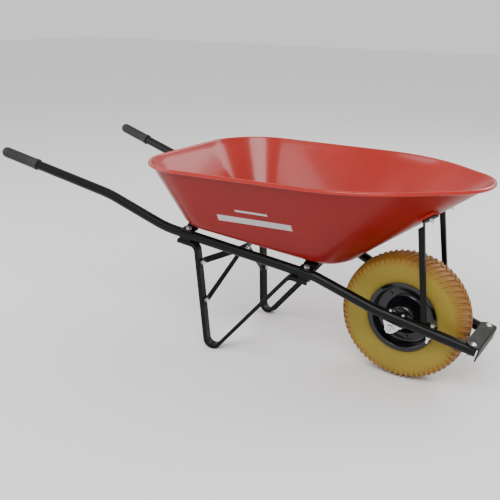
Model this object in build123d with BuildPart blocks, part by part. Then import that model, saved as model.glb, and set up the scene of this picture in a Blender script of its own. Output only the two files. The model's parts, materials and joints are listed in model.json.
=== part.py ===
"""Contractor's wheelbarrow: a pressed steel tray on two tube handles, channel legs and one solid-tyred wheel.

Row frame, in millimetres: +X forward towards the wheel, +Y to the left of the person pushing, +Z up.
The origin is on the ground, below the middle of the overall length.
Everything on the right-hand side (-Y) is drawn; the left-hand side is its mirror image.
"""
import os
from math import asin, atan, atan2, copysign, cos, hypot, radians, sin, tan

from build123d import *

# ---------------------------------------------------------------- overall
overall_length = 1676.0
nose_overhang = 258.0
wheel_radius = 203.0
fit_gap = 0.02
running_gap = 0.05
body_gap = 0.3
hole_gap = 0.25
drill_reach = 80.0
sheet_reach = 40.0
leg_reach = 100.0

# ---------------------------------------------------------------- handle tubes, measured back from the axle
tube_radius = 16.0
tube_wall = 2.0
axle_rise = 30.0
nose_bend_back = 60.0
bed_front_back = 246.0
bed_rear_back = 764.0
lift_top_back = 977.5
nose_pitch = radians(14.5)
knee_pitch = radians(21.46)
bed_pitch = radians(9.776)
lift_pitch = radians(22.5)
grip_pitch = radians(13.86)
nose_bend_radius = 300.0
knee_bend_radius = 150.0
bed_bend_radius = 350.0
lift_bend_radius = 400.0
grip_half_spread = 318.5
nose_half_spread = 76.0

# ---------------------------------------------------------------- grips
grip_length = 138.0
grip_wall = 2.5
grip_collar_length = 12.0
grip_collar_rise = 1.2
grip_collar_chamfer = 1.0
grip_collar_taper = 4.0
grip_rib_start = 15.0
grip_rib_count = 9
grip_rib_depth = 0.7
grip_rib_length = 4.0
grip_rib_pitch = 10.0

# ---------------------------------------------------------------- tray
tray_sheet = 1.6
tray_depth = 279.5
riser_height = 18.0
rim_pitch = radians(0.52)
bead_radius = 6.0
bead_seat = 4.0
floor_fillet = 43.0
fillet_steps = 5
wall_slope = radians(60)
floor_rear = 496.0
floor_rear_half = 248.0
floor_shoulder = 21.5
floor_shoulder_half = 135.4
floor_apex = 78.0
floor_radii = (95.0, 105.0, 190.0)
rim_rear = 590.2
rim_rear_half = 337.9
rim_shoulder = 184.0
rim_shoulder_half = 310.4
rim_apex = 561.4
rim_radii = (187.0, 500.0, 164.0)

# ---------------------------------------------------------------- legs, and risers under the tray
front_leg_back = 277.0
rear_leg_back = 683.0
leg_lean = atan(0.05)
leg_width = 32.0
leg_depth = 13.0
leg_sheet = 2.5
leg_edge_radius = 3.0
skid_radius = 33.0
skid_station = 273.0
leg_top_bend = 24.0
rear_foot_reach = 38.0
rear_foot_heel = 30.0
front_foot_reach = 48.6
front_foot_toe = 14.5
saddle_height = 3.0
saddle_length = 36.0
saddle_width = 26.0
riser_width = 44.0
riser_sheet = 3.0
riser_foot_width = 34.0
riser_step_run = 16.0
riser_skirt = 11.0
riser_foot_lap = 4.0
riser_arm_ratio = 0.6
riser_merge = 1.0
riser_bolt_half_rear = 150.0
riser_bolt_half_front = 92.0

# ---------------------------------------------------------------- cross braces between the legs
strap_width = 22.0
strap_sheet = 4.0
upper_strap_drop = 61.0
lower_strap_drop = 196.0
strap_tab = 27.0
strap_centre_half = 18.0
strap_bulge = 38.0
strap_centre_rise = 5.0
strap_overhang = 6.0

# ---------------------------------------------------------------- front tray braces
brace_ahead = 112.0
brace_top_drop = 82.5
brace_top_half = 81.0
brace_sheet = 4.0
brace_side = 16.0
brace_front = 10.0
brace_plate_width = 26.0
brace_foot_back = 34.0
brace_foot_front = 15.0
brace_tab_down = 20.0
brace_tab_up = 18.0
brace_cut_gap = 11.0
pad_length = 52.0
pad_width = 34.0
pad_height = 8.0
pad_below = 31.0

# ---------------------------------------------------------------- nose guard
guard_sheet = 4.0
guard_bend_radius = 8.0
guard_depth = 46.0
guard_drop = 42.0
guard_half_width = 95.7
guard_corner_cut = 14.0
guard_bolt_back = 26.0
tube_end_gap = 6.0

# ---------------------------------------------------------------- wheel and axle
axle_radius = 8.0
axle_chamfer = 1.0
bracket_sheet = 3.0
bracket_length = 60.0
bracket_width = 34.0
bracket_offset = 10.0
bracket_nose_radius = 18.0
bracket_bolt_half = 20.0
spacer_wall = 1.4
cheek_bite = 1.5
cheek_inset = 0.93
hub_half = 58.0
hub_wall = 4.0
bush_wall = 4.0
bush_length = 24.0
bush_flange = 3.0
bush_flange_radius = 15.0
rim_sheet = 2.5
rim_radius = 112.0
rim_half_width = 38.0
bead_seat_radius = 100.2
rim_disc_radius = 95.0
rim_hat_radius = 60.0
rim_hat_top_radius = 34.0
rim_hat_height = 42.0
rim_bend_radii = (12.0, 14.0, 10.0, 4.0)
rim_bolt_circle = 77.0
rim_bolt_count = 5
rim_bolt_start = 60.0
tyre_half_width = 50.0
tyre_shoulder_half = 40.0
tyre_shoulder_drop = 11.0
tyre_widest_radius = 158.0
tyre_bead_inset = 7.0
tyre_bead_height = 5.0
tyre_rim_gap = 1.0
grease_fitting_inset = 1.0
grease_fitting_radius = 3.5
grease_fitting_height = 14.0
grease_shank_radius = 2.45
grease_nipple_radius = 1.9
grease_body_height = 7.7
grease_fitting_angle = 135.0

# ---------------------------------------------------------------- fasteners: (radius, across flats, head height)
M6 = (3.0, 10.0, 4.0)
M8 = (4.0, 13.0, 5.5)
M10 = (5.0, 17.0, 6.5)
M16 = (8.0, 24.0, 13.0)
bolt_tail = 7.0
short_tail = 3.0
curved_wall_gap = 1.0
dome_ratio = 2.3
dome_rise = 0.8
washer_sheet = 2.5
washer_radius = 15.0

# ================================================================ geometry that the sub-parts share
nose_x = overall_length / 2
axle_x = nose_x - nose_overhang
grip_radius = tube_radius + grip_wall
grip_end_x = -nose_x + grip_radius
toe = (grip_half_spread - nose_half_spread) / overall_length
toe_angle = atan(toe)
plan_length = hypot(1, toe)

# tube centre-line corners, from the nose back to the grip, as (x, height)
runs = [
    (axle_x - nose_bend_back, nose_pitch),
    (axle_x - bed_front_back, knee_pitch),
    (axle_x - bed_rear_back, bed_pitch),
    (axle_x - lift_top_back, lift_pitch),
    (grip_end_x, grip_pitch),
]
corners = [(nose_x, wheel_radius + axle_rise - nose_overhang * tan(nose_pitch))]
for corner_x, pitch in runs:
    last_x, last_z = corners[-1]
    corners.append((corner_x, last_z + (last_x - corner_x) * tan(pitch)))


def spread(x):
    """Distance of a handle's centre-line from the middle of the barrow."""
    return nose_half_spread + (nose_x - x) * toe


def tube_height(x):
    """Height of the handle's centre-line, without its bend radii."""
    for (front_x, front_z), (back_x, back_z) in zip(corners, corners[1:]):
        if x >= back_x:
            return front_z + (front_x - x) * (back_z - front_z) / (front_x - back_x)
    return corners[-1][1]


def side_point(x, z):
    """A point of the right-hand handle's upright plane."""
    return ((x - nose_x) * plan_length, z)


def seat_plane(x, pitch, lean=0.0):
    """Plane on the right-hand tube's centre-line: x along the tube, z up out of its top, leaning outwards."""
    outward = Vector(sin(toe_angle), -cos(toe_angle), 0)
    along = Vector(1, toe, -tan(pitch)).normalized()
    up = outward.cross(along)
    tilted = up * cos(lean) + outward * sin(lean)
    return Plane(origin=(x, -spread(x), tube_height(x)), x_dir=along, z_dir=tilted)


side_plane = Plane(
    origin=(nose_x, -nose_half_spread, 0),
    x_dir=(cos(toe_angle), sin(toe_angle), 0),
    z_dir=(sin(toe_angle), -cos(toe_angle), 0),
)

bed_x, bed_z = corners[2]
bed_plane = Plane(
    origin=(bed_x, 0, bed_z),
    x_dir=(cos(bed_pitch), 0, -sin(bed_pitch)),
    z_dir=(sin(bed_pitch), 0, cos(bed_pitch)),
)
floor_level = tube_radius + riser_height
floor_plane = bed_plane.offset(floor_level)
rim_plane = Plane(
    origin=(bed_x, 0, bed_z + floor_level / cos(bed_pitch) + tray_depth),
    x_dir=(cos(rim_pitch), 0, sin(rim_pitch)),
    z_dir=(-sin(rim_pitch), 0, cos(rim_pitch)),
)

front_seat = seat_plane(axle_x - front_leg_back, bed_pitch, leg_lean)
rear_seat = seat_plane(axle_x - rear_leg_back, bed_pitch, leg_lean)
brace_seat = seat_plane(axle_x + brace_ahead, nose_pitch)
nose_dir = Vector(cos(nose_pitch), 0, -sin(nose_pitch))
nose_up = Vector(sin(nose_pitch), 0, cos(nose_pitch))
guard_line = seat_plane(nose_x - guard_bolt_back, nose_pitch)
guard_seat = Plane(origin=guard_line.origin, x_dir=guard_line.x_dir, z_dir=nose_up)


def shifted(seat, along):
    """The same seat, moved along its tube."""
    return Plane(origin=seat.origin + seat.x_dir * along, x_dir=seat.x_dir, z_dir=seat.z_dir)


bracket_seat = shifted(seat_plane(axle_x, nose_pitch), axle_rise * sin(nose_pitch))


# ================================================================ operations used inside the sub-parts
def drill(seat, radius, reach=drill_reach):
    """Cut a round hole through the current part, along the seat's z."""
    with BuildSketch(seat) as hole:
        Circle(radius + hole_gap)
    extrude(hole.sketch, amount=reach / 2, both=True, mode=Mode.SUBTRACT)


def shank(seat, radius, start, end):
    """A round bar along the seat's z, from one height to the other."""
    with BuildSketch(seat.offset(start)) as section:
        Circle(radius)
    extrude(section.sketch, amount=end - start)


def hexagon(seat, flats, at, height, bore=0.0):
    """A hexagon prism on the seat plane at that height, with a round bore where one is given."""
    with BuildSketch(seat.offset(at)) as section:
        RegularPolygon(flats / 2, 6, major_radius=False)
        if bore:
            Circle(bore, mode=Mode.SUBTRACT)
    extrude(section.sketch, amount=height)


def hex_bolt(seat, size, head_at, tip_at):
    """A bolt along the seat's z, its hexagon head resting at head_at and its tail ending at tip_at."""
    radius, flats, height = size
    shank(seat, radius, tip_at, head_at)
    hexagon(seat, flats, head_at, height if head_at > tip_at else -height)


def dome_bolt(seat, size, head_at, tip_at):
    """A carriage bolt along the seat's z, with a low domed head."""
    radius, _, height = size
    dome = radius * dome_ratio
    rise = height * dome_rise if head_at > tip_at else -height * dome_rise
    ball = (dome * dome + rise * rise) / (2 * abs(rise))
    half_turn = asin(dome / ball) / 2
    crown_fall = copysign(ball * (1 - cos(half_turn)), rise)
    with BuildSketch(Plane(origin=seat.origin, x_dir=seat.x_dir, z_dir=seat.y_dir * -1)) as profile:
        with BuildLine():
            Polyline((0, head_at + rise), (0, tip_at), (radius, tip_at), (radius, head_at), (dome, head_at))
            half_way = (ball * sin(half_turn), head_at + rise - crown_fall)
            ThreePointArc((dome, head_at), half_way, (0, head_at + rise))
        make_face()
    revolve(profile.sketch, axis=Axis(seat.origin, seat.z_dir))


def nut(seat, size, at, towards=-1):
    """A hexagon nut whose seat is at that height and whose body stands out in the direction given."""
    radius, flats, height = size
    hexagon(seat, flats, at, towards * height, radius + fit_gap)


def plate(seat, x_range, width, thickness):
    """A flat plate lying on the seat plane, from x_range[0] to x_range[1] along it."""
    with BuildSketch(seat) as outline:
        with Locations(((x_range[0] + x_range[1]) / 2, 0)):
            Rectangle(x_range[1] - x_range[0], width)
    extrude(outline.sketch, amount=thickness)


def mirrored(part):
    """The left-hand twin of a right-hand part."""
    with BuildPart() as twin:
        mirror(part.part, about=Plane.XZ)
    return twin


def write(label, piece):
    """Label a finished piece and write it to its own file."""
    piece.part.label = label
    export_step(piece.part, f"parts/{label}.step")


def write_pair(label, right):
    """Write a right-hand piece and its mirror image."""
    write(f"{label}_right", right)
    write(f"{label}_left", mirrored(right))


os.makedirs("parts", exist_ok=True)

# ================================================================ handle tubes
guard_bend_z = tube_radius + guard_sheet - guard_bend_radius
nose_origin = Vector(axle_x, 0, wheel_radius + axle_rise)
guard_plane = Plane(origin=nose_origin, x_dir=nose_dir, z_dir=(0, -1, 0))
guard_bend_at = (nose_overhang - guard_bend_radius - guard_bend_z * sin(nose_pitch)) / cos(nose_pitch)
tube_end_at = guard_bend_at + guard_bend_radius - guard_sheet - tube_end_gap
tube_front_x = axle_x + tube_end_at * cos(nose_pitch)

with BuildPart() as handle_tube:
    with BuildLine(side_plane) as handle_path:
        FilletPolyline(
            side_point(tube_front_x, tube_height(tube_front_x)),
            *[side_point(x, z) for x, z in corners[1:]],
            radius=[nose_bend_radius, knee_bend_radius, bed_bend_radius, lift_bend_radius],
        )
    with BuildSketch(Plane(origin=handle_path.line @ 0, z_dir=handle_path.line % 0)):
        Circle(tube_radius)
        Circle(tube_radius - tube_wall, mode=Mode.SUBTRACT)
    sweep()
    for leg_seat in (front_seat, rear_seat):
        drill(leg_seat, M10[0])
    for small_seat in (brace_seat, guard_seat):
        drill(small_seat, M8[0])
    for bracket_along in (-bracket_bolt_half, bracket_bolt_half):
        drill(shifted(bracket_seat, bracket_along), M6[0])
write_pair("handle_tube", handle_tube)

# ================================================================ grips
grip_axis = Plane(
    origin=handle_path.line @ 1,
    x_dir=side_plane.z_dir,
    z_dir=(handle_path.line % 1) * -1,
)
with BuildPart() as grip:
    with BuildSketch(Plane(origin=grip_axis.origin, x_dir=grip_axis.z_dir, z_dir=grip_axis.x_dir)):
        with BuildLine():
            grip_bore = tube_radius + fit_gap
            collar = grip_radius + grip_collar_rise
            Polyline(
                (-fit_gap, 0), (-fit_gap, grip_bore), (grip_length, grip_bore),
                (grip_length, collar - grip_collar_chamfer),
                (grip_length - grip_collar_chamfer, collar), (grip_length - grip_collar_length, collar),
                (grip_length - grip_collar_length - grip_collar_taper, grip_radius), (0, grip_radius),
            )
            half_way = (-grip_radius * cos(radians(45)), grip_radius * sin(radians(45)))
            ThreePointArc((0, grip_radius), half_way, (-grip_radius, 0))
            Line((-grip_radius, 0), (-fit_gap, 0))
        make_face()
        for rib in range(grip_rib_count):
            with Locations((grip_rib_start + rib * grip_rib_pitch, grip_radius)):
                Rectangle(grip_rib_length, 2 * grip_rib_depth, mode=Mode.SUBTRACT)
    revolve(axis=Axis(grip_axis.origin, grip_axis.z_dir))
write_pair("grip", grip)


# ================================================================ tray
floor_corners = (floor_rear, floor_rear_half, floor_shoulder, floor_shoulder_half, floor_apex)
rim_corners = (rim_rear, rim_rear_half, rim_shoulder, rim_shoulder_half, rim_apex)


def outline_points(rear, rear_half, shoulder, shoulder_half, apex):
    """Corners of the tray's plan at one level: a square rear, tapered sides and a bullet nose."""
    return [
        (-rear, -rear_half), (shoulder, -shoulder_half), (apex, 0),
        (shoulder, shoulder_half), (-rear, rear_half),
    ]


def outline_radii(rear_radius, shoulder_radius, nose_radius):
    """Radii of those corners, in the same order."""
    return [rear_radius, shoulder_radius, nose_radius, shoulder_radius, rear_radius]


def hopper(sheet):
    """Solid bounded by the tray's outer skin, or by its inner skin when a sheet thickness is given."""
    bend_radius = floor_fillet - sheet
    with BuildPart() as solid:
        for step in range(fillet_steps + 1):
            turned = wall_slope * step / fillet_steps
            with BuildSketch(floor_plane.offset(floor_fillet - bend_radius * cos(turned))):
                with BuildLine():
                    FilletPolyline(*outline_points(*floor_corners), radius=outline_radii(*floor_radii),
                                   close=True)
                make_face()
                offset(amount=bend_radius * sin(turned) - floor_fillet * tan(wall_slope / 2), mode=Mode.REPLACE)
        with BuildSketch(rim_plane):
            with BuildLine():
                FilletPolyline(*outline_points(*rim_corners), radius=outline_radii(*rim_radii), close=True)
            make_face()
            offset(amount=-bead_seat - sheet / sin(wall_slope), mode=Mode.REPLACE)
        loft(ruled=True)
    return solid


outer_skin = hopper(0)
inner_skin = hopper(tray_sheet)

# the wall point where each front brace is bolted: level, and square to the wall
brace_top_z = rim_plane.origin.Z - brace_top_drop
wall_ray = Axis((nose_x, -brace_top_half, brace_top_z), (-1, 0, 0))
wall_hits = [hit for face in outer_skin.part.faces() for hit in face.find_intersection_points(wall_ray)]
wall_point, wall_normal = max(wall_hits, key=lambda hit: hit[0].X)
wall_out = wall_normal if wall_normal.X > 0 else wall_normal * -1
wall_seat = Plane(origin=wall_point, x_dir=(Vector(0, 1, 0).cross(wall_out)) * -1, z_dir=wall_out)

riser_seats = {
    "rear": (rear_seat, axle_x - rear_leg_back, riser_bolt_half_rear),
    "front": (front_seat, axle_x - front_leg_back, riser_bolt_half_front),
}
tray_bolt_seats = []
for _, station_x, bolt_half in riser_seats.values():
    along_bed = (station_x - bed_x) / cos(bed_pitch)
    for bolt_y in (-bolt_half, bolt_half):
        spot = bed_plane.from_local_coords(Vector(along_bed, bolt_y, floor_level))
        tray_bolt_seats.append(Plane(origin=spot, x_dir=bed_plane.x_dir, z_dir=bed_plane.z_dir))

with BuildPart() as tray:
    add(outer_skin.part)
    add(inner_skin.part, mode=Mode.SUBTRACT)
    with BuildLine(rim_plane) as rim_path:
        FilletPolyline(*outline_points(*rim_corners), radius=outline_radii(*rim_radii), close=True)
    with BuildSketch(Plane(origin=rim_path.line @ 0, z_dir=rim_path.line % 0)) as bead:
        Circle(bead_radius)
    sweep(bead.sketch, path=rim_path.wires()[0])
    for tray_seat in tray_bolt_seats:
        drill(tray_seat, M8[0], reach=sheet_reach)
    drill(wall_seat, M8[0], reach=sheet_reach)
    drill(Plane(origin=(wall_point.X, -wall_point.Y, wall_point.Z),
                z_dir=(wall_out.X, -wall_out.Y, wall_out.Z)), M8[0], reach=sheet_reach)
write("tray", tray)


# ================================================================ risers between the tubes and the tray floor
def riser(seat, station_x, bolt_half):
    """Pressed cross channel: a foot bolted on each tube and a raised bridge under the tray floor."""
    along_bed = (station_x - bed_x) / cos(bed_pitch)
    foot_inner = spread(station_x) - riser_foot_width / 2
    step_inner = foot_inner - riser_step_run
    foot_top = tube_radius + riser_sheet
    section = Plane(
        origin=bed_plane.from_local_coords(Vector(along_bed - riser_width / 2, 0, 0)),
        x_dir=(0, 1, 0),
        z_dir=bed_plane.x_dir,
    )
    bridge = [(foot_inner + riser_foot_lap, foot_top), (foot_inner, foot_top), (step_inner, floor_level)]
    arm_under = foot_top - riser_sheet * riser_arm_ratio
    under = [
        (foot_inner + riser_foot_lap, arm_under),
        (foot_inner - riser_merge, arm_under),
        (step_inner - riser_merge, floor_level - riser_sheet),
    ]
    skirt_top = floor_level - riser_merge
    skirt_low = floor_level - riser_sheet - riser_skirt
    with BuildPart() as half_and_bridge:
        with BuildSketch(section) as top_strip:
            with BuildLine():
                Polyline((0, floor_level), *reversed(bridge), *under, (0, floor_level - riser_sheet),
                         close=True)
            make_face()
        extrude(top_strip.sketch, amount=riser_width)
        for skirt_plane in (section, section.offset(riser_width - riser_sheet)):
            with BuildSketch(skirt_plane) as skirt:
                with BuildLine():
                    Polyline((0, skirt_top), (step_inner - riser_merge, skirt_top),
                             (step_inner - riser_skirt / 2, skirt_low), (0, skirt_low), close=True)
                make_face()
            extrude(skirt.sketch, amount=riser_sheet)
        mirror(about=Plane.XZ)
        plate(seat.offset(tube_radius + fit_gap), (-riser_width / 2, riser_width / 2),
              riser_foot_width, riser_sheet)
        drill(seat, M10[0])
        for bolt_y in (-bolt_half, bolt_half):
            spot = bed_plane.from_local_coords(Vector(along_bed, bolt_y, floor_level))
            drill(Plane(origin=spot, z_dir=bed_plane.z_dir), M8[0], reach=sheet_reach)
    with BuildPart() as whole:
        add(half_and_bridge.part)
        mirror(about=Plane.XZ)
    return whole


for riser_name, riser_place in riser_seats.items():
    write(f"{riser_name}_riser", riser(*riser_place))

# ================================================================ legs
leg_plane = Plane(
    origin=front_seat.origin,
    x_dir=front_seat.x_dir,
    z_dir=front_seat.x_dir.cross(front_seat.z_dir),
)
rear_bolt_at = -(rear_leg_back - front_leg_back) / (cos(toe_angle) * leg_plane.x_dir.dot(side_plane.x_dir))
foot_level = -tube_radius - saddle_height - leg_depth / 2
plane_tilt = abs(leg_plane.z_dir.Z)
skid_z = skid_radius * cos(asin(plane_tilt)) + leg_width / 2 * plane_tilt
skid_at = Vector(
    -skid_station,
    (skid_z - leg_plane.origin.Z + skid_station * leg_plane.x_dir.Z) / leg_plane.y_dir.Z,
)
bend_line_radius = skid_radius - leg_depth / 2


def tangent_angle(start, side):
    """Direction from a foot's corner that just touches the skid's bend, passing it on that side."""
    away = skid_at - start
    return atan2(away.Y, away.X) + side * asin(bend_line_radius / away.length)


rear_corner = Vector(rear_bolt_at + rear_foot_reach, foot_level)
front_corner = Vector(-front_foot_reach, foot_level)
post_angle = tangent_angle(rear_corner, -1)
stay_angle = tangent_angle(front_corner, 1)
post_dir = Vector(cos(post_angle), sin(post_angle))
stay_dir = Vector(cos(stay_angle), sin(stay_angle))
apart = front_corner - rear_corner
spread_of_legs = post_dir.X * stay_dir.Y - post_dir.Y * stay_dir.X
post_length = (apart.X * stay_dir.Y - apart.Y * stay_dir.X) / spread_of_legs
skid_corner = rear_corner + post_dir * post_length
leg_points = [
    (rear_bolt_at - rear_foot_heel, foot_level),
    (rear_corner.X, rear_corner.Y),
    (skid_corner.X, skid_corner.Y),
    (front_corner.X, front_corner.Y),
    (front_foot_toe, foot_level),
]


def post_seat(drop):
    """Plane on the right-hand post's front face, that far down it: x outwards, z forward out of the web."""
    inward = Vector(-post_dir.Y, post_dir.X)
    spot = rear_corner + post_dir * drop + inward * (leg_depth / 2)
    forward = leg_plane.x_dir * inward.X + leg_plane.y_dir * inward.Y
    return Plane(origin=leg_plane.from_local_coords(spot), x_dir=leg_plane.z_dir, z_dir=forward)


upper_seat = post_seat(upper_strap_drop)
lower_seat = post_seat(lower_strap_drop)

with BuildPart() as leg:
    with BuildLine(leg_plane) as leg_path:
        FilletPolyline(*leg_points, radius=[leg_top_bend, bend_line_radius, leg_top_bend])
    leg_start = Plane(origin=leg_path.line @ 0, x_dir=leg_plane.z_dir, z_dir=leg_path.line % 0)
    with BuildSketch(leg_start) as channel:
        Rectangle(leg_width, leg_depth)
        fillet(channel.vertices().group_by(Axis.Y)[0], leg_edge_radius)
        with Locations((0, leg_sheet)):
            Rectangle(leg_width - 2 * leg_sheet, leg_depth, mode=Mode.SUBTRACT)
    sweep()
    for leg_seat in (front_seat, rear_seat):
        drill(leg_seat, M10[0], reach=leg_reach)
    for strap_seat in (upper_seat, lower_seat):
        drill(strap_seat, M8[0], reach=2 * leg_depth)
write_pair("leg", leg)

with BuildPart() as saddles:
    for leg_seat in (front_seat, rear_seat):
        plate(leg_seat.offset(-tube_radius - saddle_height + fit_gap), (-saddle_length / 2, saddle_length / 2),
              saddle_width, saddle_height + tube_radius / 2)
    for leg_seat in (front_seat, rear_seat):
        with BuildSketch(Plane(origin=leg_seat.origin, z_dir=leg_seat.x_dir)) as groove:
            Circle(tube_radius + fit_gap)
        extrude(groove.sketch, amount=saddle_length, both=True, mode=Mode.SUBTRACT)
        drill(leg_seat, M10[0])
    mirror(about=Plane.XZ)
write("leg_saddles", saddles)

# ================================================================ cross braces between the two legs
centre_at = Vector(upper_seat.origin.X + strap_bulge, 0, upper_seat.origin.Z + strap_centre_rise)


def cross_brace(seat, centre_x):
    """Flat strap from leg to leg: a tab on each post's front face and a raised tab in the middle."""
    near_end = -leg_width / 2 - strap_overhang
    with BuildPart() as half_strap:
        with BuildSketch(seat.offset(fit_gap)) as tab:
            with Locations(((near_end + strap_tab / 2) / 2, 0)):
                Rectangle(strap_tab / 2 - near_end, strap_width)
        extrude(tab.sketch, amount=strap_sheet)
        tab_end = Plane(origin=seat.offset(fit_gap + strap_sheet / 2).from_local_coords(Vector(near_end, 0, 0)),
                        x_dir=seat.z_dir, z_dir=seat.x_dir * -1)
        middle_end = Plane(origin=(centre_x + strap_sheet / 2, -strap_centre_half, centre_at.Z),
                           x_dir=(1, 0, 0), z_dir=(0, 1, 0))
        with BuildSketch(tab_end) as bar_start:
            Rectangle(strap_sheet, strap_width)
        with BuildSketch(middle_end) as bar_end:
            Rectangle(strap_sheet, strap_width)
        loft([bar_start.sketch, bar_end.sketch], ruled=True)
        drill(seat, M8[0], reach=2 * leg_depth)
    with BuildPart() as whole:
        add(half_strap.part)
        mirror(about=Plane.XZ)
        with BuildSketch(Plane.YZ.offset(centre_x)) as centre_tab:
            with Locations((0, centre_at.Z)):
                Rectangle(2 * strap_centre_half, strap_width)
        extrude(centre_tab.sketch, amount=strap_sheet)
        drill(Plane(origin=centre_at, z_dir=(1, 0, 0)), M8[0], reach=sheet_reach)
    return whole


upper_strap_x = centre_at.X
lower_strap_x = centre_at.X + strap_sheet + body_gap
write("upper_cross_brace", cross_brace(upper_seat, upper_strap_x))
write("lower_cross_brace", cross_brace(lower_seat, lower_strap_x))

# ================================================================ front braces and the pads on the tray
with BuildPart() as pads:
    plate(wall_seat.offset(fit_gap), (-pad_below, pad_length - pad_below), pad_width, pad_height)
    add(outer_skin.part, mode=Mode.SUBTRACT)
    drill(wall_seat, M8[0])
    mirror(about=Plane.XZ)
write("brace_pads", pads)

brace_top = wall_seat.offset(fit_gap + pad_height + fit_gap)
brace_foot = brace_seat.offset(tube_radius + fit_gap)
brace_rise = brace_top.origin - brace_foot.origin
brace_lean = atan2(brace_rise.Y, brace_rise.Z)
brace_plane = Plane(
    origin=brace_foot.from_local_coords(Vector(-brace_foot_back, 0, brace_sheet / 2)),
    x_dir=(1, 0, 0),
    z_dir=(0, -cos(brace_lean), sin(brace_lean)),
)
tab_at = brace_top.from_local_coords(Vector(-brace_tab_down, 0, brace_sheet / 2))
tab_corner = brace_plane.to_local_coords(tab_at)
wall_run = brace_plane.to_local_coords(brace_top.x_dir + brace_plane.origin).normalized()
front_foot = (brace_side, -brace_side * tan(nose_pitch))
front_top = (tab_corner.X, tab_corner.Y)
cut_back = brace_side / wall_run.X
rear_top = (front_top[0] - brace_side, front_top[1] - wall_run.Y * cut_back - brace_cut_gap)

with BuildPart() as front_brace:
    with BuildSketch(brace_plane.offset(brace_front / 2 - brace_sheet)) as side_flange:
        with BuildLine():
            Polyline((0, 0), front_foot, front_top, (front_top[0], front_top[1] - brace_cut_gap), rear_top,
                     close=True)
        make_face()
    extrude(side_flange.sketch, amount=brace_sheet)
    with BuildSketch(brace_plane.offset(-brace_front / 2)) as front_flange:
        with BuildLine():
            Polyline(front_foot, front_top, (front_top[0] - brace_sheet, front_top[1]),
                     (front_foot[0] - brace_sheet, front_foot[1] + brace_sheet * tan(nose_pitch)),
                     close=True)
        make_face()
    extrude(front_flange.sketch, amount=brace_front)
    plate(brace_foot, (-brace_foot_back - brace_sheet, brace_foot_front), brace_plate_width, brace_sheet)
    plate(brace_top, (-brace_tab_down - brace_sheet, brace_tab_up), brace_plate_width, brace_sheet)
    drill(brace_seat, M8[0])
    drill(wall_seat, M8[0])
write_pair("front_brace", front_brace)

# ================================================================ nose guard
with BuildPart() as nose_guard:
    guard_top = tube_radius + guard_sheet
    guard_front = guard_bend_at + guard_bend_radius
    with BuildSketch(guard_plane) as guard_section:
        with BuildLine():
            FilletPolyline((guard_front - guard_depth, guard_top), (guard_front, guard_top),
                           (guard_front, guard_top - guard_drop), radius=guard_bend_radius)
            Line((guard_front, guard_top - guard_drop), (guard_front - guard_sheet, guard_top - guard_drop))
            FilletPolyline((guard_front - guard_sheet, guard_top - guard_drop),
                           (guard_front - guard_sheet, tube_radius + fit_gap),
                           (guard_front - guard_depth, tube_radius + fit_gap),
                           radius=guard_bend_radius - guard_sheet)
            Line((guard_front - guard_depth, tube_radius + fit_gap), (guard_front - guard_depth, guard_top))
        make_face()
    extrude(guard_section.sketch, amount=guard_half_width, both=True)
    chamfer(nose_guard.edges().filter_by(GeomType.LINE).group_by(SortBy.LENGTH)[0].sort_by(Axis.Z)[0:2],
            guard_corner_cut)
    drill(guard_seat, M8[0])
    drill(Plane(origin=(guard_seat.origin.X, -guard_seat.origin.Y, guard_seat.origin.Z),
                z_dir=(guard_seat.z_dir.X, -guard_seat.z_dir.Y, guard_seat.z_dir.Z)), M8[0])
write("nose_guard", nose_guard)

# ================================================================ axle and its brackets
axle_z = wheel_radius
bracket_y = spread(axle_x) + bracket_offset
bracket_outer = bracket_y + bracket_sheet
hub_end = hub_half + bush_flange
axle_half = bracket_outer + washer_sheet + M16[2] + bolt_tail


def across(y):
    """Upright plane at that y whose x is forward, whose y is up and whose normal points to -Y."""
    return Plane(origin=(axle_x, y, axle_z), x_dir=(1, 0, 0), z_dir=(0, -1, 0))


with BuildPart() as axle_bracket:
    flange = bracket_seat.offset(-tube_radius - bracket_sheet - fit_gap)
    plate(flange, (-bracket_length / 2, bracket_length / 2), bracket_width, bracket_sheet)
    with BuildSketch(Plane.XZ.offset(bracket_outer)) as beyond:
        with Locations((axle_x, axle_z)):
            Rectangle(2 * bracket_length, 2 * bracket_length)
    extrude(beyond.sketch, amount=bracket_width, mode=Mode.SUBTRACT)
    with BuildSketch(across(-bracket_y)) as cheek:
        Circle(bracket_nose_radius)
        for cheek_along in (-bracket_length / 2, bracket_length / 2):
            corner = across(-bracket_y).to_local_coords(flange.from_local_coords(Vector(cheek_along, 0, 0)))
            with Locations((corner.X * cheek_inset, corner.Y + cheek_bite)):
                Rectangle(cheek_bite, cheek_bite)
        make_hull()
        Circle(axle_radius + hole_gap, mode=Mode.SUBTRACT)
    extrude(cheek.sketch, amount=bracket_sheet)
    with BuildSketch(flange.offset(bracket_sheet)) as above:
        Rectangle(2 * bracket_length, 2 * bracket_width)
    extrude(above.sketch, amount=bracket_nose_radius, mode=Mode.SUBTRACT)
    for bracket_along in (-bracket_bolt_half, bracket_bolt_half):
        drill(shifted(bracket_seat, bracket_along), M6[0])
write_pair("axle_bracket", axle_bracket)

with BuildPart() as axle:
    with BuildSketch(across(-axle_half)):
        Circle(axle_radius)
    extrude(amount=-2 * axle_half)
    chamfer(axle.edges(), axle_chamfer)
write("axle", axle)


def ring(outer, inner, start, end):
    """A plain ring round the axle between two distances to the right of the middle."""
    with BuildSketch(across(-start)) as section:
        Circle(outer)
        Circle(inner, mode=Mode.SUBTRACT)
    extrude(section.sketch, amount=end - start)


with BuildPart() as axle_spacers:
    ring(axle_radius + spacer_wall, axle_radius + fit_gap, hub_end + body_gap, bracket_y)
    mirror(about=Plane.XZ)
write("axle_spacers", axle_spacers)

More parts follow.
